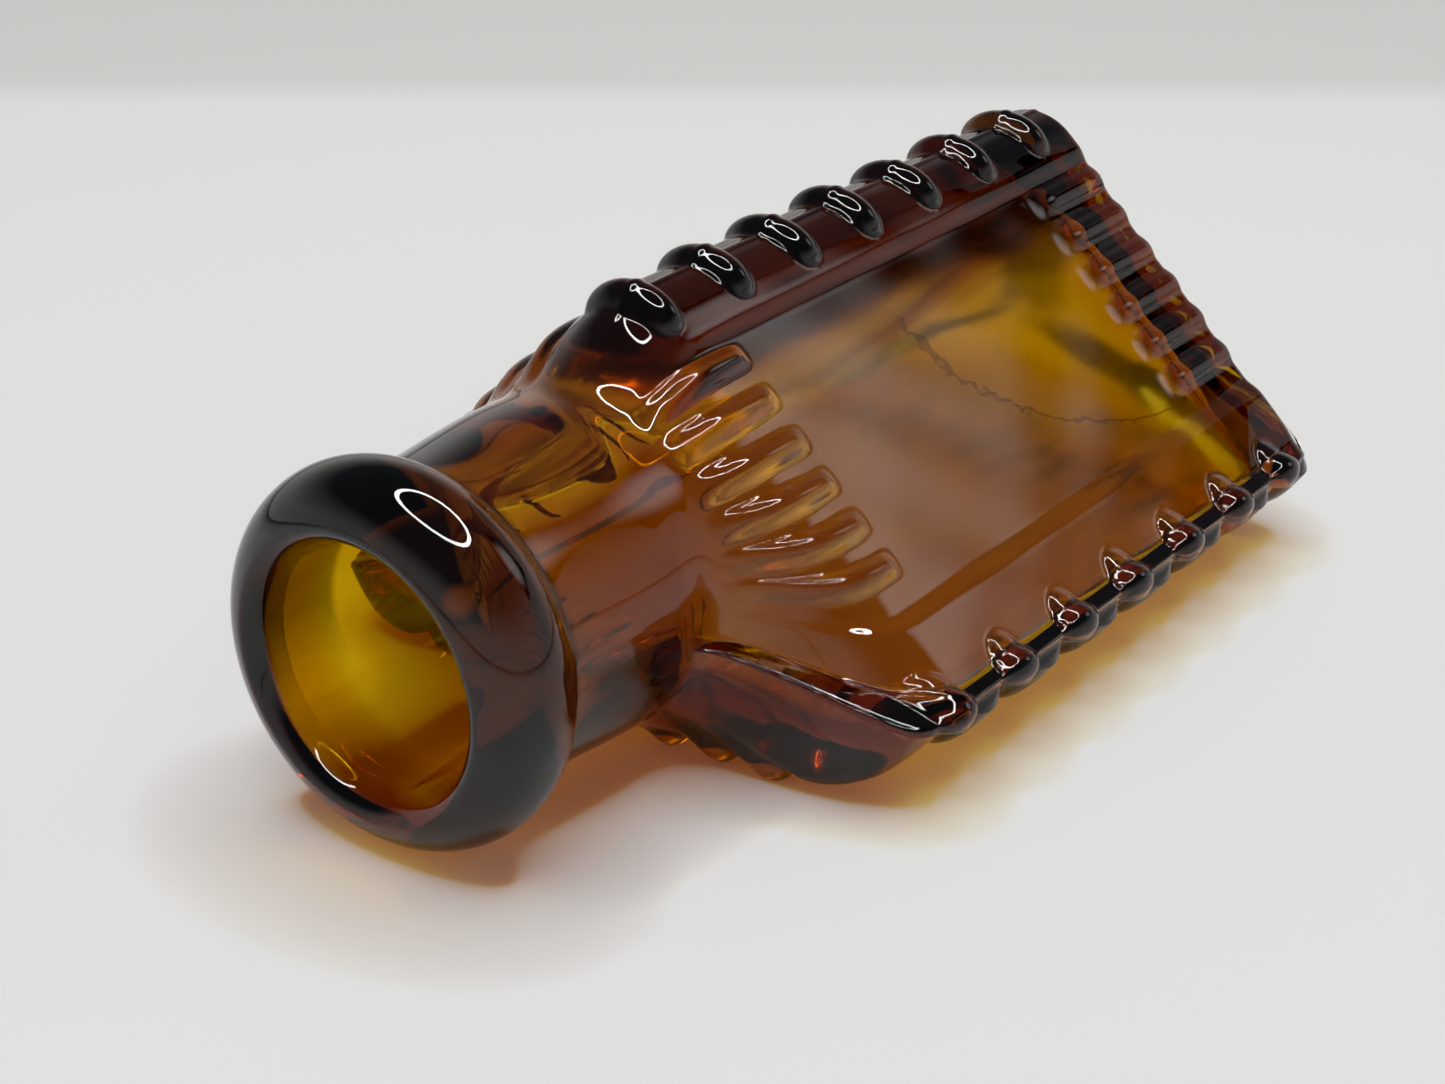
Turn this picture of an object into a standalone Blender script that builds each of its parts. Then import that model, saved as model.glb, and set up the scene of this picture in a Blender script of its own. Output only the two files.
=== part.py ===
"""Three-sided amber glass poison bottle, lying on its wide back face.

The bottle's axis runs along X, the mouth towards -X and the base towards +X.
Seen along the axis the body is a rounded triangle: a wide back face on the
ground, bowed up towards its corners, and two narrower front faces that meet
in a ridge on top. Short knobs cross the three corners, and short ribs stand
at both ends of every face. The lip is a ring of glass of its own, laid on
the end of the neck.
"""

import math

import bmesh
import bpy
import numpy as np

MM = 0.001

# Driving dimensions. Stations along the axis count from the first knob.
KNOB_PITCH = 7.6 * MM
KNOB_COUNT = 7
KNOB_RISE = 1.0 * MM
KNOB_HALF_WIDTH = 2.4 * MM
KNOB_REACH = 2.6 * MM  # how far a knob runs past its corner's round

LIP_RADIUS = 12.7 * MM
LIP_ROUND = 4.2 * MM
LIP_MIDDLE = -23.0 * MM
RIM_RADIUS = 9.6 * MM  # foremost circle of the lip
RIM_DEPTH = 2.4 * MM  # how far the inner edge rounds back into the bore
BORE_RADIUS = 8.2 * MM
NECK_RADIUS = 10.8 * MM
NECK_FOOT_RADIUS = 11.4 * MM
NECK_END = -19.4 * MM
NECK_FOOT = -8.6 * MM
JOINT_GAP = 0.3 * MM

FRONT_SLOPE = math.radians(43.7)  # each front face against the back face
FRONT_DISTANCE = 13.1 * MM  # axis to front face
APEX_ROUND = 4.6 * MM
SIDE_ROUND = 4.0 * MM
BOW_START = 17.0 * MM  # the back bows up beyond this distance from the middle
BOW_END = 25.0 * MM
BOW_RISE = 4.6 * MM

SHOULDER_START = -7.6 * MM
SHOULDER_END = 2.3 * MM
SHOULDER_PULLS = (5.0 * MM, 6.9 * MM)  # the Bezier handles at both ends of the shoulder's curve
SHOULDER_STEPS = (0.12, 0.26, 0.38, 0.5, 0.6)  # where the rings lie along that curve
HEEL_START = 49.8 * MM
BASE_END = 50.9 * MM

WALL = 2.3 * MM
INNER_APEX_ROUND = 3.6 * MM
INNER_SIDE_ROUND = 2.6 * MM
FLOOR_THICKNESS = 3.6 * MM
# The hollow's rings, from its floor to the bore: distance from the floor and size on the floor's
# round, then station and share of the triangle, which the bore's circle takes over.
FLOOR_ROUND = [(0.0, 0.93), (1.0 * MM, 0.985), (2.6 * MM, 1.0)]
HOLLOW_MIDDLE = 24.0 * MM
HOLLOW_NECK = [(3.8 * MM, 1.0), (-0.4 * MM, 0.8), (-2.2 * MM, 0.45), (-4.4 * MM, 0.15), (-7.4 * MM, 0.0)]

PANEL_DEPTH = 0.4 * MM
PANEL_EDGE = 0.7 * MM
RIB_RISE = 1.0 * MM
RIB_HALF_WIDTH = 1.2 * MM
PANEL_FADE = 3.0 * MM  # length over which the panels sink in on the shoulder
SHOULDER_RIBS = (-6.2 * MM, 4.0 * MM)
BASE_RIBS = (41.8 * MM, 50.4 * MM)
RIB_FADE = 2.0 * MM
# Each face: its panel's two edges, its first rib, the ribs' pitch and their number.
FAR_FACE = ((-15.9 * MM, 6.1 * MM), -13.0 * MM, 4.3 * MM, 5)
NEAR_FACE = ((-6.1 * MM, 15.9 * MM), -4.2 * MM, 3.3 * MM, 6)
BACK_FACE = ((-17.0 * MM, 17.0 * MM), -14.7 * MM, 4.2 * MM, 8)
BACK_DISTANCE = LIP_RADIUS + PANEL_DEPTH - RIB_RISE  # axis to back face: lip and ribs share the ground

# Fineness of the mesh.
COLUMN_GAP = 0.35 * MM  # columns closer than this are merged
ROUND_STEPS = (-0.67, -0.33, 0.0, 0.33, 0.67, 1.0)  # columns across a corner's round
KNOB_STEPS = (-1.0, -0.75, 0.75, 1.0)  # rings across a knob
HEEL_STEPS = (0.5, 0.85, 1.0)
LAST_RING = 3.0 * MM  # ring between the last knob and the heel
CURVE_SAMPLES = 201
OUTLINE_SAMPLES = 2001
LIP_SEGMENTS = 64
LIP_STEPS = 12
RIM_STEPS = 5
AMBER = (0.42, 0.13, 0.015, 1.0)


class Face:
    """A flat side: its outward angle, its distance from the axis, its panel and its ribs."""

    def __init__(self, angle, distance, panel, first_rib, rib_pitch, rib_count):
        self.normal = np.array([math.cos(angle), math.sin(angle)])
        self.along = np.array([-math.sin(angle), math.cos(angle)])
        self.angle = angle
        self.distance = distance
        self.panel = panel
        self.ribs = [first_rib + rib_pitch * i for i in range(rib_count)]


def make_faces(inset):
    """The far front face, the near front face and the back face, moved in by the inset."""
    slope = math.pi / 2 - FRONT_SLOPE
    front = FRONT_DISTANCE - inset
    far = Face(slope, front, *FAR_FACE)
    near = Face(math.pi - slope, front, *NEAR_FACE)
    back = Face(3 * math.pi / 2, BACK_DISTANCE - inset, *BACK_FACE)
    return [far, near, back]


class Section:
    """A rounded triangle around the axis, walked by its arc length from face to face."""

    def __init__(self, faces, rounds):
        self.faces = faces
        self.spans = []  # (face, first t, last t, arc length at t = 0)
        self.corners = []  # (centre, radius, first angle, last angle, arc length at the middle)
        centres = []
        for i, face in enumerate(faces):
            after = faces[(i + 1) % 3]
            rows = np.array([face.normal, after.normal])
            reach = np.array([face.distance - rounds[i], after.distance - rounds[i]])
            centres.append(np.linalg.solve(rows, reach))
        length = 0.0
        for i, face in enumerate(faces):
            first = float(centres[i - 1] @ face.along)
            last = float(centres[i] @ face.along)
            self.spans.append((face, first, last, length - first))
            length += last - first
            after = faces[(i + 1) % 3]
            turn = (after.angle - face.angle) % (2 * math.pi)
            arc = rounds[i] * turn
            self.corners.append((centres[i], rounds[i], face.angle, face.angle + turn, length + arc / 2))
            length += arc
        self.length = length

    def at(self, s):
        """The point and the outward normal at arc length s, with the back bowed up."""
        point, normal = self.flat_at(s % self.length)
        out = max(0.0, abs(point[0]) - BOW_START) / (BOW_END - BOW_START)
        under = (math.cos(FRONT_SLOPE) - normal[1]) / (math.cos(FRONT_SLOPE) + 1)
        return point + np.array([0.0, BOW_RISE * out * out * under]), normal

    def flat_at(self, s):
        """The point and the outward normal of the plain rounded triangle."""
        for (face, first, last, zero), corner in zip(self.spans, self.corners):
            if s <= zero + last:
                return face.normal * face.distance + face.along * (s - zero), face.normal
            centre, radius, start, end, middle = corner
            half = radius * (end - start) / 2
            if s <= middle + half:
                angle = start + (s - (middle - half)) / radius
                normal = np.array([math.cos(angle), math.sin(angle)])
                return centre + radius * normal, normal
        return self.flat_at(0.0)


def smooth(value):
    value = min(max(value, 0.0), 1.0)
    return value * value * (3 - 2 * value)


def between(value, low, high, edge):
    """1 inside low to high, 0 outside, with an edge of the given width centred on each end."""
    return smooth((value - low) / edge + 0.5) * smooth((high - value) / edge + 0.5)


def knob_height(section, s, x):
    """Knobs cross each corner at every pitch, with rounded ends on the faces beside it."""
    station = min(max(round(x / KNOB_PITCH), 0), KNOB_COUNT - 1) * KNOB_PITCH
    across = abs(x - station) / KNOB_HALF_WIDTH
    if across >= 1:
        return 0.0
    for _, radius, start, end, middle in section.corners:
        half = radius * (end - start) / 2 + KNOB_REACH
        away = abs((s - middle + section.length / 2) % section.length - section.length / 2)
        if away < half:
            ends = smooth((half - away) / KNOB_REACH)
            return KNOB_RISE * ends * math.sqrt(1 - across * across)
    return 0.0


def face_height(section, s, x):
    """The sunk panel of a face, and the ribs that stand in it at both of its ends."""
    for face, first, last, zero in section.spans:
        t = s - zero
        if first <= t <= last:
            low, high = face.panel
            sunk = between(t, low, high, PANEL_EDGE) * smooth((x - SHOULDER_START) / PANEL_FADE)
            height = -PANEL_DEPTH * sunk
            for centre in face.ribs:
                side = abs(t - centre) / RIB_HALF_WIDTH
                if side < 1:
                    along = max(between(x, *SHOULDER_RIBS, RIB_FADE), between(x, *BASE_RIBS, RIB_FADE))
                    height += RIB_RISE * along * (1 - side * side)
            return height
    return 0.0


def shoulder_profile():
    """Stations and blend weights of the shoulder: 0 is the round neck, 1 the triangular body."""
    t = np.linspace(0, 1, CURVE_SAMPLES)
    pull_low = SHOULDER_START + SHOULDER_PULLS[0]
    pull_high = SHOULDER_END - SHOULDER_PULLS[1]
    x = (
        SHOULDER_START * (1 - t) ** 3
        + 3 * pull_low * (1 - t) ** 2 * t
        + 3 * pull_high * (1 - t) * t**2
        + SHOULDER_END * t**3
    )
    return x, 3 * t**2 - 2 * t**3


def neck_radius(x):
    """The neck widens a little towards its foot."""
    return NECK_RADIUS + (NECK_FOOT_RADIUS - NECK_RADIUS) * smooth((x - NECK_END) / (NECK_FOOT - NECK_END))


def outer_ring(section, columns, x, weight):
    """One ring of the outside, part way from the neck's circle to the triangle with its relief."""
    ring = []
    heel = max(0.0, (x - HEEL_START) / (BASE_END - HEEL_START))
    tuck = (BASE_END - HEEL_START) * (1 - math.sqrt(max(0.0, 1 - heel * heel)))
    for s in columns:
        point, normal = section.at(s)
        relief = knob_height(section, s, x) + face_height(section, s, x)
        body = point + normal * (relief - tuck)
        circle = point / np.linalg.norm(point) * neck_radius(x)
        y, z = circle * (1 - weight) + body * weight
        ring.append((x, y, z))
    return ring


def inner_ring(section, columns, x, weight, radius):
    """One ring of the hollow, part way from the bore's circle to the inner triangle."""
    ring = []
    for s in columns:
        point, _ = section.at(s)
        y, z = point / np.linalg.norm(point) * radius * (1 - weight) + point * weight
        ring.append((x, y, z))
    return ring


def column_places(section):
    """Arc lengths of the mesh columns: on ribs, on panel edges and round the corners."""
    places = []
    for face, first, last, zero in section.spans:
        marks = [first]
        for edge in face.panel:
            marks += [edge - PANEL_EDGE / 2, edge + PANEL_EDGE / 2]
        for centre in face.ribs:
            marks += [centre - RIB_HALF_WIDTH, centre - RIB_HALF_WIDTH / 2, centre]
            marks += [centre + RIB_HALF_WIDTH / 2, centre + RIB_HALF_WIDTH]
        places += [zero + t for t in sorted(marks) if first <= t <= last]
    for _, radius, start, end, middle in section.corners:
        half = radius * (end - start) / 2
        places += [middle + half * step for step in ROUND_STEPS]
        places += [middle - half - KNOB_REACH / 2, middle + half + KNOB_REACH / 2]
    places = sorted(place % section.length for place in places)
    kept = [places[0]]
    for place in places[1:]:
        if place - kept[-1] > COLUMN_GAP:
            kept.append(place)
    return kept


def station_places():
    """Stations of the body's rings past the shoulder: over each knob and round the heel."""
    places = []
    for i in range(KNOB_COUNT):
        centre = i * KNOB_PITCH
        places += [centre + KNOB_HALF_WIDTH * step for step in KNOB_STEPS]
    places.append((KNOB_COUNT - 1) * KNOB_PITCH + LAST_RING)
    places += [HEEL_START + (BASE_END - HEEL_START) * step for step in HEEL_STEPS]
    return sorted(places)


def outside_rings(outer, columns):
    """Rings from the neck's end over the shoulder and the body to the base's edge."""
    profile_x, profile_weight = shoulder_profile()
    rings = [outer_ring(outer, columns, x, 0.0) for x in (NECK_END, (NECK_END + NECK_FOOT) / 2, NECK_FOOT)]
    for step in SHOULDER_STEPS:
        index = round(step * (len(profile_x) - 1))
        rings.append(outer_ring(outer, columns, profile_x[index], profile_weight[index]))
        passed = profile_x[index]
    for x in station_places():
        if x > passed:
            rings.append(outer_ring(outer, columns, x, float(np.interp(x, profile_x, profile_weight))))
    return rings


def inside_rings(inner, columns):
    """Rings of the hollow from its floor up to the straight bore and the neck's end."""
    rings = []
    for away, size in FLOOR_ROUND:
        ring = inner_ring(inner, columns, BASE_END - FLOOR_THICKNESS - away, 1.0, BORE_RADIUS)
        rings.append([(x, y * size, z * size) for x, y, z in ring])
    for x, share in [(HOLLOW_MIDDLE, 1.0)] + HOLLOW_NECK + [(NECK_END, 0.0)]:
        rings.append(inner_ring(inner, columns, x, share, BORE_RADIUS))
    return rings


def body_rings():
    """Every ring of the outside, and every ring of the hollow, with the same columns."""
    outer = Section(make_faces(0.0), [APEX_ROUND, SIDE_ROUND, SIDE_ROUND])
    inner = Section(make_faces(WALL), [INNER_APEX_ROUND, INNER_SIDE_ROUND, INNER_SIDE_ROUND])
    columns = column_places(outer)
    return outside_rings(outer, columns), inside_rings(inner, align_columns(outer, columns, inner))


def align_columns(outer, columns, inner):
    """Arc lengths on the inner section that lie in the same directions from the axis."""
    fine = np.linspace(0, inner.length, OUTLINE_SAMPLES)
    points = np.array([inner.at(s)[0] for s in fine])
    angles = np.unwrap(np.arctan2(points[:, 1], points[:, 0]))
    places = []
    for s in columns:
        y, z = outer.at(s)[0]
        angle = math.atan2(z, y)
        angle = angles[0] + (angle - angles[0]) % (2 * math.pi)
        places.append(float(np.interp(angle, angles, fine)))
    return places


def centre_station():
    return (lip_front() + BASE_END) / 2


def glass_material(name, colour):
    material = bpy.data.materials.new(name)
    material.use_nodes = True
    shader = material.node_tree.nodes["Principled BSDF"]
    shader.inputs["Base Color"].default_value = colour
    shader.inputs["Roughness"].default_value = 0.04
    shader.inputs["Metallic"].default_value = 0.0
    shader.inputs["IOR"].default_value = 1.5
    shader.inputs["Transmission Weight"].default_value = 0.9
    material.diffuse_color = colour
    return material


def add_object(name, mesh_builder, material):
    """A mesh object on the resting height, its axis along X and its middle over the origin."""
    mesh = bpy.data.meshes.new(name)
    builder = bmesh.new()
    mesh_builder(builder)
    bmesh.ops.recalc_face_normals(builder, faces=builder.faces)
    bmesh.ops.translate(builder, vec=(-centre_station(), 0, LIP_RADIUS), verts=builder.verts)
    builder.to_mesh(mesh)
    builder.free()
    mesh.materials.append(material)
    mesh.shade_smooth()
    mesh.set_sharp_from_angle(angle=math.radians(40))
    part = bpy.data.objects.new(name, mesh)
    bpy.context.scene.collection.objects.link(part)
    return part


def build_body(builder):
    """Rings bridged into one closed skin: the outside, the base, the hollow and the neck's end."""
    outside, inside = body_rings()
    rings = [[builder.verts.new(point) for point in ring] for ring in outside + inside]
    for i, ring in enumerate(rings):
        after = rings[(i + 1) % len(rings)]
        if i == len(outside) - 1:
            builder.faces.new(ring)
            builder.faces.new(after)
            continue
        for j in range(len(ring)):
            k = (j + 1) % len(ring)
            builder.faces.new((ring[j], ring[k], after[k], after[j]))


def rim_angle():
    """Where the lip's outer round ends, measured from the lip's widest circle."""
    return math.acos((RIM_RADIUS - LIP_RADIUS + LIP_ROUND) / LIP_ROUND)


def lip_front():
    return LIP_MIDDLE - LIP_ROUND * math.sin(rim_angle())


def build_lip(builder):
    """The laid-on ring: a round outside, an inner edge rounded into the bore and a flat back."""
    back = NECK_END - JOINT_GAP
    first = math.asin((back - LIP_MIDDLE) / LIP_ROUND)
    profile = []
    for step in range(LIP_STEPS + 1):
        angle = first - (first + rim_angle()) * step / LIP_STEPS
        radius = LIP_RADIUS - LIP_ROUND + LIP_ROUND * math.cos(angle)
        profile.append((LIP_MIDDLE + LIP_ROUND * math.sin(angle), radius))
    for step in range(1, RIM_STEPS + 1):
        angle = math.pi / 2 * (1 - step / RIM_STEPS)
        x = lip_front() + RIM_DEPTH * (1 - math.sin(angle))
        profile.append((x, RIM_RADIUS - (RIM_RADIUS - BORE_RADIUS) * math.cos(angle)))
    profile.append((back, BORE_RADIUS))
    verts = [builder.verts.new((x, 0, radius)) for x, radius in profile]
    edges = [builder.edges.new((a, b)) for a, b in zip(verts, verts[1:] + verts[:1])]
    bmesh.ops.spin(
        builder,
        geom=verts + edges,
        cent=(0, 0, 0),
        axis=(1, 0, 0),
        angle=2 * math.pi,
        steps=LIP_SEGMENTS,
        use_merge=True,
    )
    bmesh.ops.remove_doubles(builder, verts=builder.verts, dist=1e-6)


def main():
    for existing in list(bpy.data.objects):
        bpy.data.objects.remove(existing, do_unlink=True)
    add_object("bottle_body", build_body, glass_material("amber_glass_body", AMBER))
    add_object("laid_on_lip", build_lip, glass_material("amber_glass_lip", AMBER))


main()
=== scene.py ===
"""Looks of the three-sided amber glass bottle, lying on its back face on a pale floor.

The whole bottle is one piece of glass: a closed skin of rings that runs from the
middle of the base over the outside, round the lip, down the bore and over the
hollow to the inner floor. Stations along the axis count from the first knob, with
the neck towards -X. Angles and places around the axis follow a rounded triangle.
"""

import math

import bpy
import numpy as np
from mathutils import Euler, Matrix, Vector


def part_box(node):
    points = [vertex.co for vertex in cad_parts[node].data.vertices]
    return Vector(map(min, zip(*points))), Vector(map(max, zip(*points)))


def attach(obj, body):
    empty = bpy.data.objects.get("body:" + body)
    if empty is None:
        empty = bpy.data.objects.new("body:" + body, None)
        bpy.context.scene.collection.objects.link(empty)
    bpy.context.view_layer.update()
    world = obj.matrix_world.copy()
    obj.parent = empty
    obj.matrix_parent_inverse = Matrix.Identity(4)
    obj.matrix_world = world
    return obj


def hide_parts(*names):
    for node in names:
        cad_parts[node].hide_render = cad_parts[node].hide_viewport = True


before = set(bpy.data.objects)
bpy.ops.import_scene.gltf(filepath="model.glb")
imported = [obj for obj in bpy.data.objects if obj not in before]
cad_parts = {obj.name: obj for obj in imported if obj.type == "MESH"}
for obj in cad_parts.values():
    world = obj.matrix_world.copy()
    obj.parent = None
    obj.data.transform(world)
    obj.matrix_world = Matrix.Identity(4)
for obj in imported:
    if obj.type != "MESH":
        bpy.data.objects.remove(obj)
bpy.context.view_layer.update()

MM = 0.001

KNOB_PITCH = 7.6 * MM
KNOB_COUNT = 7
KNOB_RISE = 1.0 * MM
RIDGE_KNOB = (1.5 * MM, 0.7 * MM)  # half width, and how far it runs past the ridge's round
SIDE_KNOB = (2.0 * MM, 1.6 * MM)
UNDER_KNOB = (1.9 * MM, 0.2 * MM)
KNOB_ROUNDING = 0.8
SEAM_RISE = 0.12 * MM
SEAM_HALF_WIDTH = 0.22 * MM

LIP_RADIUS = 12.7 * MM
LIP_ROUND = 4.2 * MM
LIP_MIDDLE = -23.0 * MM
RIM_RADIUS = 9.6 * MM
RIM_DEPTH = 2.4 * MM
BORE_RADIUS = 8.2 * MM
NECK_RADIUS = 10.8 * MM
NECK_FOOT_RADIUS = 11.4 * MM
NECK_END = -19.4 * MM
NECK_FOOT = -8.6 * MM

FRONT_SLOPE = math.radians(43.7)
FRONT_DISTANCE = 13.1 * MM
APEX_ROUND = 4.6 * MM
SIDE_ROUND = 4.0 * MM
BOW_START = 17.0 * MM  # the back bows up beyond this distance from the middle
BOW_END = 25.0 * MM
BOW_RISE = 4.6 * MM

SHOULDER_START = -7.6 * MM
SHOULDER_END = 2.3 * MM
SHOULDER_PULLS = (5.0 * MM, 6.9 * MM)  # the Bezier handles at both ends of the shoulder's curve
SHOULDER_LEAD = 1.2 * MM  # the shoulder's underside starts earlier than its top by this much,
SHOULDER_FULLNESS = 2.4  # and fills out faster
HEEL_START = 49.8 * MM
BASE_END = 50.9 * MM
HEEL_AT_SIDES = 3.0 * MM  # the heel is rounder where it turns the side corners,
HEEL_REACH = 7.0 * MM  # fading out over this distance to either side
BASE_DISH = 0.7 * MM

WALL = 2.0 * MM
INNER_APEX_ROUND = 12.3 * MM
INNER_SIDE_ROUND = 1.3 * MM
FLOOR_THICKNESS = 3.6 * MM
FLOOR_ROUND = 4.0 * MM
FLOOR_CROWN = 0.6 * MM  # how far the inner floor's middle sinks towards the base
HOLLOW_TAPER = 10.0 * MM  # length over which the hollow narrows to the bore
BORE_START = -8.2 * MM

SEAM_BLEND = 0.5 * MM
UNDER_SHIFT = 0.45  # how far the knobs under the seam lie along, in pitches

PANEL_DEPTH = 0.4 * MM
PANEL_EDGE = 1.8 * MM
PANEL_FADE = 3.0 * MM  # length over which the panels sink in on the shoulder
FACE_OVERLAP = 1.5 * MM  # how far a face's relief runs on into the corners' rounds
RIB_RISE = 1.0 * MM
RIB_BULB = 1.7 * MM  # radius of the bulb at a shoulder rib's start
BULB_RISE = 0.4 * MM
BULB_PLACE = 0.9 * MM  # how far the bulb's middle lies inside the rib's start
BULB_STRETCH = 0.8
BASE_RIB_RISE = 0.5 * MM
RIB_HALF_WIDTH = 1.25 * MM
SHOULDER_RIBS = (-5.6 * MM, 3.7 * MM)
BASE_RIBS = (41.8 * MM, 50.6 * MM)
SHOULDER_RIB_FADE = 1.6 * MM
BASE_RIB_FADE = 3.0 * MM
RIB_WIDEST = 1.12  # a shoulder rib's width at its start, in parts of the plain width,
RIB_NARROWING = 0.35  # and how much narrower and lower it gets towards the base
RIB_LOWERING = 0.25
# Each face: its panel's two edges, its first rib, the ribs' pitch and their number.
FAR_FACE = ((-15.9 * MM, 6.1 * MM), -13.0 * MM, 4.3 * MM, 5)
NEAR_FACE = ((-6.1 * MM, 15.9 * MM), -4.2 * MM, 3.3 * MM, 6)
BACK_FACE = ((-17.0 * MM, 17.0 * MM), -14.7 * MM, 4.2 * MM, 8)

BACK_DISTANCE = LIP_RADIUS + PANEL_DEPTH - RIB_RISE

# Painted shade that darkens the outside's colour on the lip and along the ridge, where the glass is thickest
# and looks nearly black:
LIP_SHADE_FADE = 0.8 * MM
LIP_SHADE_LOW = 8.0 * MM  # the painted shade on the lip fades out from this depth down, on the underside where the ground's light comes in
RIDGE_SHADE = 5.0 * MM  # how far the painted shade along the ridge reaches to either side

FILM_START = -6.0 * MM  # a thin film of dried residue coats the hollow from here on
FILM_FADE = 5.0 * MM
SPECKLE_SCALE = 900.0
SPECKLE_DETAIL = 3.0
WANDER = 1.6  # millimetres that the tide line strays to either side
HAZE_EDGE = (-1.0, 2.0)  # millimetres from the tide line over which the haze sets in
CRUST_EDGE = (0.15, 0.45)  # millimetres from the line over which the crust fades out
# The haze ends in a tide line, half an ellipse on the near front face: its middle's station and
# place on the face, and its two half axes.
TIDE_STATION = 48.0 * MM
TIDE_PLACE = -1.0 * MM
TIDE_LENGTH = 27.0 * MM
TIDE_WIDTH = 15.5 * MM
# A point belongs to the near face by its depth below that face's plane.
CRUST_END = 0.3 * MM
CRUST_FADE = 0.3 * MM
NEAR_FACE_END = 0.7 * MM
NEAR_FACE_FADE = 0.6 * MM
ALL_HAZE = 60.0  # a distance from the tide line that is well inside the haze

COLUMNS = 560
STATION_STEP = 0.25 * MM
SHOULDER_FINENESS = 0.7
INNER_STEP = 0.5 * MM
BORE_STEP = 0.4 * MM
CENTRE_RINGS = 24
SEED = 7

# Unevenness of the glass, outside and in: height, shortest wave and number of waves.
OUTER_WAVES = (0.035 * MM, 9 * MM, 14)
INNER_WAVES = (0.07 * MM, 7 * MM, 18)
BORE_WAVES = 0.2  # how much of the inner unevenness shows in the bore


class Face:
    """A flat side: its outward angle, its distance from the axis, its panel and its ribs."""

    def __init__(self, angle, distance, panel, first_rib, rib_pitch, rib_count):
        self.normal = np.array([math.cos(angle), math.sin(angle)])
        self.along = np.array([-math.sin(angle), math.cos(angle)])
        self.angle = angle
        self.distance = distance
        self.panel = panel
        self.ribs = [first_rib + rib_pitch * i for i in range(rib_count)]


def make_faces(inset):
    """The far front face, the near front face and the back face, counter-clockwise."""
    slope = math.pi / 2 - FRONT_SLOPE
    front = FRONT_DISTANCE - inset
    far = Face(slope, front, *FAR_FACE)
    near = Face(math.pi - slope, front, *NEAR_FACE)
    back = Face(1.5 * math.pi, BACK_DISTANCE - inset, *BACK_FACE)
    return [far, near, back]


class Section:
    """A rounded triangle around the axis, sampled by its arc length from face to face."""

    def __init__(self, faces, rounds):
        self.spans = []  # (face, first t, last t, arc length at t = 0)
        self.corners = []  # (centre, radius, first angle, last angle, arc length at the middle)
        centres = []
        for i, face in enumerate(faces):
            after = faces[(i + 1) % 3]
            rows = np.array([face.normal, after.normal])
            reach = np.array([face.distance - rounds[i], after.distance - rounds[i]])
            centres.append(np.linalg.solve(rows, reach))
        length = 0.0
        for i, face in enumerate(faces):
            first = float(centres[i - 1] @ face.along)
            last = float(centres[i] @ face.along)
            self.spans.append((face, first, last, length - first))
            length += last - first
            turn = (faces[(i + 1) % 3].angle - face.angle) % (2 * math.pi)
            arc = rounds[i] * turn
            self.corners.append((centres[i], rounds[i], face.angle, face.angle + turn, length + arc / 2))
            length += arc
        self.length = length

    def sample(self, s):
        """Points and outward normals at the arc lengths s."""
        s = np.asarray(s) % self.length
        points = np.zeros((len(s), 2))
        normals = np.zeros((len(s), 2))
        for (face, first, last, zero), corner in zip(self.spans, self.corners):
            flat = (s >= zero + first) & (s <= zero + last)
            points[flat] = face.normal * face.distance + face.along * (s[flat] - zero)[:, None]
            normals[flat] = face.normal
            centre, radius, start, end, middle = corner
            half = radius * (end - start) / 2
            bend = (s > middle - half) & (s < middle + half)
            angle = start + (s[bend] - (middle - half)) / radius
            normals[bend] = np.stack([np.cos(angle), np.sin(angle)], 1)
            points[bend] = centre + radius * normals[bend]
        out = np.clip(np.abs(points[:, 0]) - BOW_START, 0, None) / (BOW_END - BOW_START)
        under = (math.cos(FRONT_SLOPE) - normals[:, 1]) / (math.cos(FRONT_SLOPE) + 1)
        points[:, 1] += BOW_RISE * out * out * under
        return points, self.upright(points, normals)

    @staticmethod
    def upright(points, normals):
        """Outward normals of the closed outline through the points, where it has enough of them."""
        if len(points) < 50:
            return normals
        step = np.roll(points, -1, 0) - np.roll(points, 1, 0)
        turned = np.stack([step[:, 1], -step[:, 0]], 1)
        turned /= np.linalg.norm(turned, axis=1)[:, None]
        return turned

    def from_corner(self, s, corner):
        """Signed arc length from the middle of a corner."""
        middle = self.corners[corner][4]
        return (np.asarray(s) - middle + self.length / 2) % self.length - self.length / 2


def smooth(value):
    value = np.clip(value, 0.0, 1.0)
    return value * value * (3 - 2 * value)


def between(value, low, high, edge):
    """1 inside low to high, 0 outside, with an edge of the given width centred on each end."""
    return smooth((value - low) / edge + 0.5) * smooth((high - value) / edge + 0.5)


def bump(value):
    """A round hump: 1 at 0, and 0 from 1 on either side, with a soft foot."""
    return np.clip(1 - value * value, 0, 1) ** 1.5


class Ripple:
    """Slow unevenness of hand-made glass: a few seeded waves over arc length and station."""

    def __init__(self, seed, length, shortest, count):
        draw = np.random.default_rng(seed)
        turns = max(1, int(length / shortest))
        self.around = draw.integers(-turns, turns + 1, count) * 2 * math.pi / length
        self.along = draw.normal(0, 2 * math.pi / shortest / 2, count)
        self.phase = draw.uniform(0, 2 * math.pi, count)
        size = np.hypot(self.around, self.along)
        self.height = 1 / (1 + size * shortest)
        self.height /= np.sqrt((self.height**2).sum() / 2)

    def __call__(self, s, x):
        total = 0
        for a, b, phase, height in zip(self.around, self.along, self.phase, self.height):
            total = total + height * np.sin(a * s + b * x + phase)
        return total


def knob_row(away, half, reach, x, width, start):
    """One row of knobs along a corner: round humps at every pitch, rounded off at both ends."""
    station = start + np.clip(np.round((x - start) / KNOB_PITCH), 0, KNOB_COUNT - 1) * KNOB_PITCH
    across = (x - station) / width
    along = away / (half + reach)
    return KNOB_RISE * np.clip(1 - across * across - along**4, 0, 1) ** KNOB_ROUNDING


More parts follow.
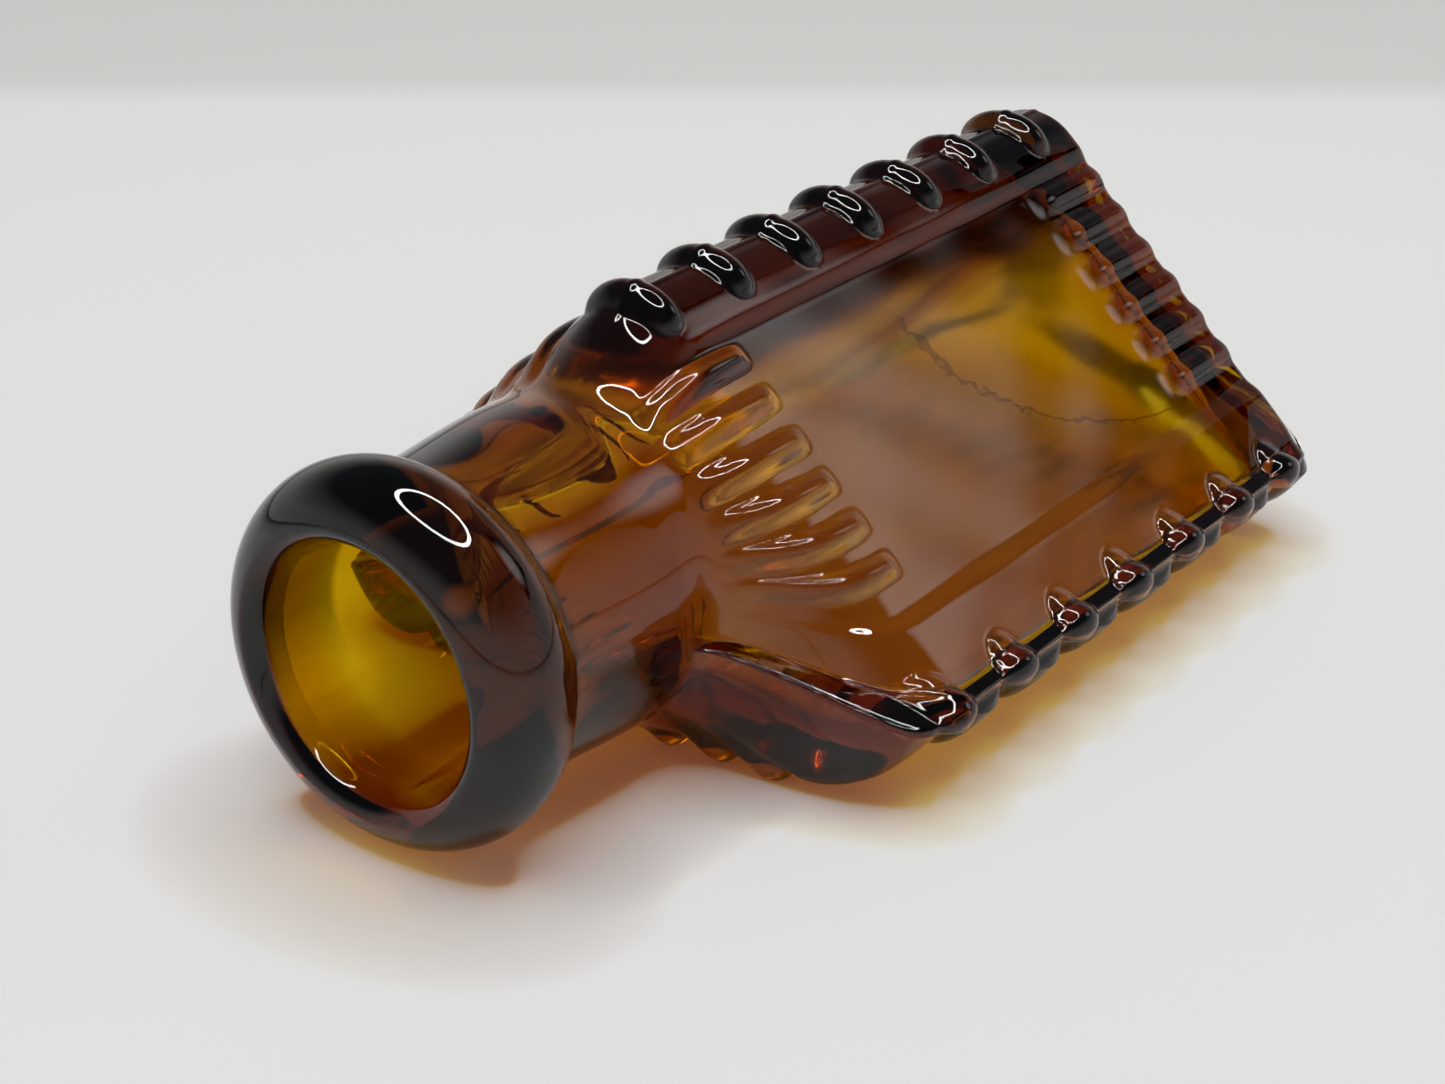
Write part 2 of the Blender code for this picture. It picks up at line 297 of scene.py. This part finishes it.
def knob_height(section, s, x):
    """Knobs cross the ridge whole. On the side corners the mould's halves don't quite meet:
    the knobs above the seam stand over the gaps between the knobs below it."""
    total = 0
    for i, (_, radius, start, end, _) in enumerate(section.corners):
        half = radius * (end - start) / 2
        away = section.from_corner(s, i)
        if i == 0:
            width, reach = RIDGE_KNOB
            total = total + knob_row(away, half, reach, x, width, 0.0)
            continue
        upper = away * (1 if i == 2 else -1)
        above = smooth(upper / SEAM_BLEND + 0.5)
        width, reach = SIDE_KNOB
        total = total + above * knob_row(away, half, reach, x, width, 0.0)
        width, reach = UNDER_KNOB
        row = knob_row(away, half, reach, x, width, KNOB_PITCH * UNDER_SHIFT)
        total = total + (1 - above) * row * smooth(x / KNOB_PITCH + 0.5)
    return total


def seam_height(section, s, x):
    """The mould's seams: a fine raised line over the middle of each corner."""
    total = 0
    for i in range(3):
        away = section.from_corner(s, i) / SEAM_HALF_WIDTH
        total = total + SEAM_RISE * np.exp(-away * away)
    return total


def face_height(section, s, x):
    """The sunk panel of a face, and the ribs that stand in it at both of its ends."""
    total = 0
    for face, first, last, zero in section.spans:
        t = (s - zero - first + section.length / 4) % section.length - section.length / 4 + first
        inside = (t > first - FACE_OVERLAP) & (t < last + FACE_OVERLAP)
        low, high = face.panel
        height = -PANEL_DEPTH * between(t, low, high, PANEL_EDGE) * smooth((x - SHOULDER_START) / PANEL_FADE)
        for centre in face.ribs:
            near_end = np.clip((x - SHOULDER_RIBS[0]) / (SHOULDER_RIBS[1] - SHOULDER_RIBS[0]), 0, 1)
            width = RIB_HALF_WIDTH * (RIB_WIDEST - RIB_NARROWING * near_end)
            ends = between(x, *SHOULDER_RIBS, SHOULDER_RIB_FADE) * (1.0 - RIB_LOWERING * near_end)
            height = height + RIB_RISE * ends * np.clip(1 - ((t - centre) / width) ** 2, 0, 1)
            bulb = np.hypot(t - centre, (x - SHOULDER_RIBS[0] - BULB_PLACE) * BULB_STRETCH) / RIB_BULB
            height = height + BULB_RISE * bump(bulb)
            ends = between(x, *BASE_RIBS, BASE_RIB_FADE)
            height = height + BASE_RIB_RISE * ends * bump((t - centre) / RIB_HALF_WIDTH)
        total = total + np.where(inside, height, 0)
    return total


def shoulder_profile():
    """Stations and blend weights of the shoulder: 0 is the round neck, 1 the triangular body."""
    t = np.linspace(0, 1, 401)
    pull_low = SHOULDER_START + SHOULDER_PULLS[0]
    pull_high = SHOULDER_END - SHOULDER_PULLS[1]
    x = (
        SHOULDER_START * (1 - t) ** 3
        + 3 * pull_low * (1 - t) ** 2 * t
        + 3 * pull_high * (1 - t) * t**2
        + SHOULDER_END * t**3
    )
    return x, 3 * t**2 - 2 * t**3


def facing_down(normals):
    """How far each column faces the ground: 0 on the front faces, 1 on the back face."""
    return np.clip((math.cos(FRONT_SLOPE) - normals[:, 1]) / (math.cos(FRONT_SLOPE) + 1), 0, 1)


def shoulder_weight(x, down):
    """Blend weight of every column at a station."""
    profile_x, profile_weight = shoulder_profile()
    weight = np.interp(x + SHOULDER_LEAD * down, profile_x, profile_weight)
    return (1 - (1 - weight) ** (1 + SHOULDER_FULLNESS * down))[:, None]


def neck_radius(x):
    """The neck widens a little towards its foot."""
    return NECK_RADIUS + (NECK_FOOT_RADIUS - NECK_RADIUS) * smooth((x - NECK_END) / (NECK_FOOT - NECK_END))


def circles(directions, profile):
    """Rings of plain circles, one for each (station, radius) of a profile."""
    rings = []
    for x, radius in profile:
        yz = directions * radius
        rings.append(np.column_stack([np.full(len(yz), x), yz]))
    return rings


def outside_rings(section, s):
    """Rings from the neck's end over the shoulder and the body to the edge of the base."""
    points, normals = section.sample(s)
    directions = points / np.linalg.norm(points, axis=1)[:, None]
    ripple = Ripple(SEED, section.length, *OUTER_WAVES[1:])
    down = facing_down(normals)
    heel = heel_radius(section, s)
    stations = list(np.arange(NECK_END, NECK_FOOT, STATION_STEP))
    stations += list(np.arange(NECK_FOOT, SHOULDER_END, STATION_STEP * SHOULDER_FINENESS))
    heel_start = BASE_END - HEEL_AT_SIDES
    stations += list(np.arange(SHOULDER_END, heel_start, STATION_STEP))
    stations += list(heel_start + HEEL_AT_SIDES * np.sin(np.linspace(0, math.pi / 2, 30)))
    rings = []
    for x in stations:
        weight = shoulder_weight(x, down)
        along = np.clip((x - BASE_END + heel) / heel, 0, 1)
        tuck = heel * (1 - np.sqrt(1 - along * along))
        relief = knob_height(section, s, x) + face_height(section, s, x) + seam_height(section, s, x)
        relief = relief + OUTER_WAVES[0] * ripple(s, x)
        body = points + normals * (relief - tuck)[:, None]
        circle = directions * neck_radius(x)
        yz = circle * (1 - weight) + body * weight
        yz[:, 1] = np.maximum(yz[:, 1], -LIP_RADIUS)  # nothing reaches below the ground
        rings.append(np.column_stack([np.full(len(s), x), yz]))
    return rings


def heel_radius(section, s):
    """Radius of the heel's round in every column."""
    plain = BASE_END - HEEL_START
    nearest = np.minimum(np.abs(section.from_corner(s, 1)), np.abs(section.from_corner(s, 2)))
    return plain + (HEEL_AT_SIDES - plain) * smooth(1 - nearest / HEEL_REACH)


def base_rings(edge, depth, count):
    """Rings that close an end towards its middle, dished by the given depth."""
    rings = []
    for step in range(1, count):
        share = 1 - step / count
        ring = edge * share
        ring[:, 0] = edge[:, 0] - depth * smooth((1 - share) * 3.0)
        rings.append(ring)
    return rings


def inside_rings(section, s, directions):
    """Rings of the hollow from the inner floor's edge up to the straight bore."""
    points, normals = section.sample(s)
    ripple = Ripple(SEED + 1, section.length, *INNER_WAVES[1:])
    end = BASE_END - FLOOR_THICKNESS
    round_in = FLOOR_ROUND
    steps = []
    for angle in np.linspace(0, math.pi / 2, 16):
        steps.append((end - round_in * (1 - math.cos(angle)), 1.0, round_in * (1 - math.sin(angle))))
    steps += [(x, 1.0, 0.0) for x in np.arange(end - round_in - INNER_STEP, SHOULDER_END, -INNER_STEP)]
    for share in np.linspace(0, 1, 40)[1:]:
        steps.append((SHOULDER_END - HOLLOW_TAPER * share, 1 - float(smooth(share)), 0.0))
    rings = []
    for x, weight, tuck in steps:
        uneven = INNER_WAVES[0] * ripple(s, x)
        body = points + normals * (uneven - tuck)[:, None]
        circle = directions * (BORE_RADIUS + BORE_WAVES * uneven)[:, None]
        yz = circle * (1 - weight) + body * weight
        rings.append(np.column_stack([np.full(len(s), x), yz]))
    return rings


def lip_profile():
    """(station, radius) of the laid-on lip: down the bore's rounded edge, over the round and back."""
    rim = math.acos((RIM_RADIUS - LIP_RADIUS + LIP_ROUND) / LIP_ROUND)
    front = LIP_MIDDLE - LIP_ROUND * math.sin(rim)
    profile = []
    for angle in np.linspace(0, math.pi / 2, 12):
        x = front + RIM_DEPTH * (1 - math.sin(angle))
        profile.append((x, RIM_RADIUS - (RIM_RADIUS - BORE_RADIUS) * math.cos(angle)))
    last = math.pi * 0.62
    for angle in np.linspace(-rim, last, 60)[1:]:
        radius = LIP_RADIUS - LIP_ROUND + LIP_ROUND * math.cos(angle)
        if radius < NECK_RADIUS and angle > 0:
            break
        profile.append((LIP_MIDDLE + LIP_ROUND * math.sin(angle), radius))
    return profile, front


def skin(name, rings, first_middle, last_middle, inside_from):
    """One closed mesh over all the rings, fanned to a point at both ends."""
    count = len(rings[0])
    points = np.concatenate([np.concatenate(rings), [first_middle], [last_middle]])
    column = np.arange(count)
    after = (column + 1) % count
    quads = []
    for i in range(len(rings) - 1):
        low, high = i * count, (i + 1) * count
        quads.append(np.stack([low + column, high + column, high + after, low + after], 1))
    quads = np.concatenate(quads)
    first, last = len(points) - 2, len(points) - 1
    end = (len(rings) - 1) * count
    fans = np.concatenate([
        np.stack([np.full(count, first), column, after], 1),
        np.stack([end + after, end + column, np.full(count, last)], 1),
    ])
    mesh = bpy.data.meshes.new(name)
    mesh.from_pydata(points, [], quads.tolist() + fans.tolist())
    mesh.update()
    mesh.shade_smooth()
    film = np.zeros(len(points), dtype=np.float32)
    hollow = np.arange(len(points)) >= inside_from * count
    hollow[first] = False
    film[hollow] = smooth((points[hollow, 0] - FILM_START) / FILM_FADE)
    mesh.attributes.new("film", "FLOAT", "POINT").data.foreach_set("value", film)
    tide, on_near = tide_distance(points)
    mesh.attributes.new("tide", "FLOAT", "POINT").data.foreach_set("value", tide)
    mesh.attributes.new("near", "FLOAT", "POINT").data.foreach_set("value", film * on_near)
    # a mask of painted shade for the lip and the ridge
    mesh.attributes.new("painted_shade", "FLOAT", "POINT").data.foreach_set("value", painted_shade_mask(points, hollow))
    return mesh


def painted_shade_mask(points, hollow):
    """Painted shade on the outside where the glass is thickest and looks nearly black: 1 on the lip, less on
    its underside, and along the top of the ridge.
    """
    x, y, z = points.T
    lip = smooth((NECK_END + LIP_SHADE_FADE - x) / LIP_SHADE_FADE)
    lip = lip * smooth((z + LIP_SHADE_LOW) / LIP_SHADE_LOW)
    ridge = smooth(2 * (1 - np.abs(y) / RIDGE_SHADE)) * (z > 0)
    ridge = ridge * smooth((x - SHOULDER_START) / (SHOULDER_END - SHOULDER_START))
    return np.where(hollow, 0, np.maximum(lip, ridge)).astype(np.float32)


def tide_distance(points):
    """Millimetres from each point to the tide line along the axis, positive on the hazy side, and
    1 for points on the near front face: the other faces are hazy all over."""
    place = -points[:, 1] * math.cos(FRONT_SLOPE) - points[:, 2] * math.sin(FRONT_SLOPE)
    across = np.clip((place - TIDE_PLACE) / TIDE_WIDTH, -1, 1)
    line = TIDE_STATION - TIDE_LENGTH * np.sqrt(1 - across * across)
    reach = points[:, 2] * math.cos(FRONT_SLOPE) - points[:, 1] * math.sin(FRONT_SLOPE)
    depth = FRONT_DISTANCE - WALL - reach
    elsewhere = smooth((depth - NEAR_FACE_END) / NEAR_FACE_FADE)
    on_near = 1 - smooth((depth - CRUST_END) / CRUST_FADE)
    distance = (line - points[:, 0]) / MM + ALL_HAZE * elsewhere
    return distance.astype(np.float32), on_near.astype(np.float32)


def build_bottle(shift):
    """The whole bottle as one piece of glass, moved by shift into the frame."""
    outer = Section(make_faces(0.0), [APEX_ROUND, SIDE_ROUND, SIDE_ROUND])
    inner = Section(make_faces(WALL), [INNER_APEX_ROUND, INNER_SIDE_ROUND, INNER_SIDE_ROUND])
    s = np.arange(COLUMNS) / COLUMNS * outer.length
    points, _ = outer.sample(s)
    directions = points / np.linalg.norm(points, axis=1)[:, None]
    fine = np.linspace(0, inner.length, 4001)
    turn = np.unwrap(np.arctan2(*inner.sample(fine[:-1])[0].T[::-1]))
    wanted = np.arctan2(points[:, 1], points[:, 0])
    wanted = turn[0] + (wanted - turn[0]) % (2 * math.pi)
    inner_s = np.interp(wanted, turn, fine[:-1])

    outside = outside_rings(outer, s)
    base = base_rings(outside[-1], BASE_DISH, CENTRE_RINGS)
    inside = inside_rings(inner, inner_s, directions)
    floor = base_rings(inside[0], -FLOOR_CROWN, CENTRE_RINGS)
    profile, front = lip_profile()
    lip = circles(directions, profile)
    bore_stations = np.arange(BORE_START, front + RIM_DEPTH, -BORE_STEP)
    bore = circles(directions, [(x, BORE_RADIUS) for x in bore_stations])
    rings = base[::-1] + outside[::-1] + lip[::-1] + bore[::-1] + inside[::-1] + floor
    inside_from = len(base) + len(outside) + len(lip)
    outer_middle = (BASE_END - BASE_DISH, 0.0, 0.0)
    inner_middle = (BASE_END - FLOOR_THICKNESS + FLOOR_CROWN, 0.0, 0.0)
    mesh = skin("amber_bottle", rings, outer_middle, inner_middle, inside_from)
    mesh.transform(Matrix.Translation(shift))
    bottle = bpy.data.objects.new("amber_bottle", mesh)
    bpy.context.scene.collection.objects.link(bottle)
    return bottle


FLOOR_COLOUR = (0.81, 0.805, 0.79)
BACK_COLOUR = (0.69, 0.68, 0.655)
SHEET_EDGE_TURN = 36.76  # degrees from +X to the way the sheets' edge faces
SHEET_EDGE = (0.128, 0.142)  # metres from the origin over which one sheet gives way to the other
GLASS_TINT = (0.925, 0.835, 0.03, 1.0)
GLASS_DENSITY = 2000.0
CRUST_COLOUR = (0.30, 0.22, 0.14, 1.0)
SURFACE_ROUGHNESS = 0.01
HAZE_ROUGHNESS = 0.20
CLEAR_ROUGHNESS = 0.18
# painted shade: the near-black colour laid over the lip and the top of the ridge
PAINTED_SHADE_COLOUR = (0.17, 0.17, 0.20, 1.0)


def glass_material(name):
    """Amber glass: coloured by how far light travels in it, clear at the surface but for the crust and the
    painted shade on the lip and ridge.
    """
    material = bpy.data.materials.new(name)
    material.use_nodes = True
    tree = material.node_tree
    shader = tree.nodes["Principled BSDF"]
    output = tree.nodes["Material Output"]
    shader.inputs["Base Color"].default_value = (1, 1, 1, 1)
    shader.inputs["IOR"].default_value = 1.5
    shader.inputs["Transmission Weight"].default_value = 1.0
    coat_with_film(tree, shader)
    absorb = tree.nodes.new("ShaderNodeVolumeAbsorption")
    absorb.inputs["Color"].default_value = GLASS_TINT
    absorb.inputs["Density"].default_value = GLASS_DENSITY
    tree.links.new(absorb.outputs["Volume"], output.inputs["Volume"])
    clear = tree.nodes.new("ShaderNodeBsdfTransparent")
    clear.inputs["Color"].default_value = (0.97, 0.97, 0.97, 1)
    path = tree.nodes.new("ShaderNodeLightPath")
    mix = tree.nodes.new("ShaderNodeMixShader")
    tree.links.new(path.outputs["Is Shadow Ray"], mix.inputs["Fac"])
    tree.links.new(shader.outputs["BSDF"], mix.inputs[1])
    tree.links.new(clear.outputs["BSDF"], mix.inputs[2])
    tree.links.new(mix.outputs["Shader"], output.inputs["Surface"])
    return material


def coat_with_film(tree, shader):
    """The hollow's film: hazy up to the tide line, a dark crust along it and nearly clear beyond; then the
    painted shade on the lip and ridge.
    """
    film = tree.nodes.new("ShaderNodeAttribute")
    film.attribute_name = "film"
    tide = tree.nodes.new("ShaderNodeAttribute")
    tide.attribute_name = "tide"
    speckle = tree.nodes.new("ShaderNodeTexNoise")
    speckle.inputs["Scale"].default_value = SPECKLE_SCALE
    speckle.inputs["Detail"].default_value = SPECKLE_DETAIL
    place = tree.nodes.new("ShaderNodeTexCoord")
    tree.links.new(place.outputs["Object"], speckle.inputs["Vector"])
    wander = tree.nodes.new("ShaderNodeMapRange")
    wander.inputs["To Min"].default_value = -WANDER
    wander.inputs["To Max"].default_value = WANDER
    tree.links.new(speckle.outputs["Fac"], wander.inputs["Value"])
    line = tree.nodes.new("ShaderNodeMath")
    tree.links.new(tide.outputs["Fac"], line.inputs[0])
    tree.links.new(wander.outputs["Result"], line.inputs[1])

    haze = tree.nodes.new("ShaderNodeMapRange")
    haze.inputs["From Min"].default_value = HAZE_EDGE[0]
    haze.inputs["From Max"].default_value = HAZE_EDGE[1]
    haze.inputs["To Min"].default_value = CLEAR_ROUGHNESS
    haze.inputs["To Max"].default_value = HAZE_ROUGHNESS
    tree.links.new(line.outputs["Value"], haze.inputs["Value"])
    rough = tree.nodes.new("ShaderNodeMix")
    rough.inputs["A"].default_value = SURFACE_ROUGHNESS
    tree.links.new(film.outputs["Fac"], rough.inputs["Factor"])
    tree.links.new(haze.outputs["Result"], rough.inputs["B"])
    tree.links.new(rough.outputs["Result"], shader.inputs["Roughness"])

    size = tree.nodes.new("ShaderNodeMath")
    size.operation = "ABSOLUTE"
    tree.links.new(line.outputs["Value"], size.inputs[0])
    crust = tree.nodes.new("ShaderNodeMapRange")
    crust.inputs["From Min"].default_value = CRUST_EDGE[0]
    crust.inputs["From Max"].default_value = CRUST_EDGE[1]
    crust.inputs["To Min"].default_value = 1.0
    crust.inputs["To Max"].default_value = 0.0
    tree.links.new(size.outputs["Value"], crust.inputs["Value"])
    cover = tree.nodes.new("ShaderNodeMath")
    cover.operation = "MULTIPLY"
    near = tree.nodes.new("ShaderNodeAttribute")
    near.attribute_name = "near"
    tree.links.new(crust.outputs["Result"], cover.inputs[0])
    tree.links.new(near.outputs["Fac"], cover.inputs[1])
    tint = tree.nodes.new("ShaderNodeMix")
    tint.data_type = "RGBA"
    tint.inputs["A"].default_value = (1, 1, 1, 1)
    tint.inputs["B"].default_value = CRUST_COLOUR
    tree.links.new(cover.outputs["Value"], tint.inputs["Factor"])
    # Painted shade: darkens the base colour on the lip and along the ridge.
    painted_shade = tree.nodes.new("ShaderNodeAttribute")
    painted_shade.attribute_name = "painted_shade"
    shade = tree.nodes.new("ShaderNodeMix")
    shade.data_type = "RGBA"
    shade.inputs["B"].default_value = PAINTED_SHADE_COLOUR
    tree.links.new(painted_shade.outputs["Fac"], shade.inputs["Factor"])
    tree.links.new(tint.outputs["Result"], shade.inputs["A"])
    tree.links.new(shade.outputs["Result"], shader.inputs["Base Color"])


def plain_material(name, colour, roughness):
    material = bpy.data.materials.new(name)
    material.use_nodes = True
    shader = material.node_tree.nodes["Principled BSDF"]
    shader.inputs["Base Color"].default_value = (*colour, 1)
    shader.inputs["Roughness"].default_value = roughness
    return material


def build_floor():
    """A pale sheet that gives way to a slightly darker one beyond a straight line behind the bottle."""
    mesh = bpy.data.meshes.new("floor")
    size = 4.0
    corners = [(-size, -size, 0), (size, -size, 0), (size, size, 0), (-size, size, 0)]
    mesh.from_pydata(corners, [], [(0, 1, 2, 3)])
    floor = bpy.data.objects.new("floor", mesh)
    bpy.context.scene.collection.objects.link(floor)
    material = plain_material("floor", FLOOR_COLOUR, 0.6)
    tree = material.node_tree
    place = tree.nodes.new("ShaderNodeNewGeometry")
    turn = math.radians(SHEET_EDGE_TURN)
    along = tree.nodes.new("ShaderNodeVectorMath")
    along.operation = "DOT_PRODUCT"
    along.inputs[1].default_value = (math.cos(turn), math.sin(turn), 0)
    tree.links.new(place.outputs["Position"], along.inputs[0])
    step = tree.nodes.new("ShaderNodeMapRange")
    step.interpolation_type = "SMOOTHSTEP"
    step.inputs["From Min"].default_value = SHEET_EDGE[0]
    step.inputs["From Max"].default_value = SHEET_EDGE[1]
    tree.links.new(along.outputs["Value"], step.inputs["Value"])
    mix = tree.nodes.new("ShaderNodeMix")
    mix.data_type = "RGBA"
    mix.inputs["A"].default_value = (*FLOOR_COLOUR, 1)
    mix.inputs["B"].default_value = (*BACK_COLOUR, 1)
    tree.links.new(step.outputs["Result"], mix.inputs["Factor"])
    tree.links.new(mix.outputs["Result"], tree.nodes["Principled BSDF"].inputs["Base Color"])
    mesh.materials.append(material)


def ring_light(centre, radius, width, strength):
    """A flat glowing ring that faces down."""
    steps = 96
    angles = np.arange(steps) / steps * 2 * math.pi
    points = []
    for r in (radius - width / 2, radius + width / 2):
        points += [(centre[0] + r * math.cos(a), centre[1] + r * math.sin(a), centre[2]) for a in angles]
    faces = [(i, (i + 1) % steps, (i + 1) % steps + steps, i + steps) for i in range(steps)]
    mesh = bpy.data.meshes.new("ring_light")
    mesh.from_pydata(points, [], faces)
    lamp = bpy.data.objects.new("ring_light", mesh)
    bpy.context.scene.collection.objects.link(lamp)
    mesh.materials.append(glow_material("ring_light", strength))


def build_world():
    """A room that is pale low down, like the wall behind the table, and dark overhead."""
    world = bpy.data.worlds.new("studio")
    world.use_nodes = True
    tree = world.node_tree
    background = tree.nodes["Background"]
    place = tree.nodes.new("ShaderNodeTexCoord")
    split = tree.nodes.new("ShaderNodeSeparateXYZ")
    ramp = tree.nodes.new("ShaderNodeValToRGB")
    tree.links.new(place.outputs["Generated"], split.inputs["Vector"])
    tree.links.new(split.outputs["Z"], ramp.inputs["Fac"])
    tree.links.new(ramp.outputs["Color"], background.inputs["Color"])
    ramp.color_ramp.elements[0].position = 0.20
    ramp.color_ramp.elements[0].color = (0.62, 0.61, 0.59, 1)
    ramp.color_ramp.elements[1].position = 0.55
    ramp.color_ramp.elements[1].color = (0.07, 0.075, 0.085, 1)
    background.inputs["Strength"].default_value = 1.0
    bpy.context.scene.world = world


def window_light(aim, away, size, strength):
    """A soft pale light to one side, facing the bottle and fading towards its edge."""
    out = Vector(aim).normalized()
    mesh = bpy.data.meshes.new("window_light")
    corners = [(-size, -size, 0), (size, -size, 0), (size, size, 0), (-size, size, 0)]
    mesh.from_pydata(corners, [], [(0, 1, 2, 3)])
    lamp = bpy.data.objects.new("window_light", mesh)
    lamp.location = out * away
    lamp.rotation_euler = out.to_track_quat("Z", "Y").to_euler()
    bpy.context.scene.collection.objects.link(lamp)
    material = glow_material("window_light", 1.0)
    tree = material.node_tree
    place = tree.nodes.new("ShaderNodeTexCoord")
    reach = tree.nodes.new("ShaderNodeVectorMath")
    reach.operation = "LENGTH"
    tree.links.new(place.outputs["Object"], reach.inputs[0])
    fade = tree.nodes.new("ShaderNodeMapRange")
    fade.interpolation_type = "SMOOTHSTEP"
    fade.inputs["From Min"].default_value = size * 0.3
    fade.inputs["From Max"].default_value = size
    fade.inputs["To Min"].default_value = strength
    fade.inputs["To Max"].default_value = 0.0
    tree.links.new(reach.outputs["Value"], fade.inputs["Value"])
    tree.links.new(fade.outputs["Result"], tree.nodes["Emission"].inputs["Strength"])
    mesh.materials.append(material)


def glow_material(name, strength):
    material = bpy.data.materials.new(name)
    material.use_nodes = True
    tree = material.node_tree
    tree.nodes.clear()
    glow = tree.nodes.new("ShaderNodeEmission")
    glow.inputs["Strength"].default_value = strength
    output = tree.nodes.new("ShaderNodeOutputMaterial")
    tree.links.new(glow.outputs["Emission"], output.inputs["Surface"])
    return material


def build_camera():
    data = bpy.data.cameras.new("camera")
    data.lens = 66.4
    data.sensor_width = 36.0
    data.clip_start = 0.01
    camera = bpy.data.objects.new("camera", data)
    camera.location = (-0.13706, -0.10068, 0.08953)
    camera.rotation_euler = Euler((math.radians(64.02), 0, math.radians(-53.24)))
    bpy.context.scene.collection.objects.link(camera)
    bpy.context.scene.camera = camera


build_camera()
build_world()
build_floor()
_, body_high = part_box("bottle_body")
shift = Vector((body_high[0] - BASE_END, 0, LIP_RADIUS))
ring_light(centre=(0.0, 0.0, 0.6), radius=0.235, width=0.03, strength=27.0)
window_light(aim=(0.70, -0.47, 0.60), away=0.9, size=0.20, strength=1.6)

bottle = build_bottle(shift)
bottle.data.materials.append(glass_material("amber_glass"))
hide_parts("bottle_body", "laid_on_lip")
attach(bottle, "root")

scene = bpy.context.scene
scene.view_settings.view_transform = "Standard"
scene.cycles.use_denoising = True
scene.cycles.max_bounces = 24
scene.cycles.transmission_bounces = 20
scene.cycles.transparent_max_bounces = 24
scene.cycles.caustics_refractive = False
scene.cycles.caustics_reflective = False
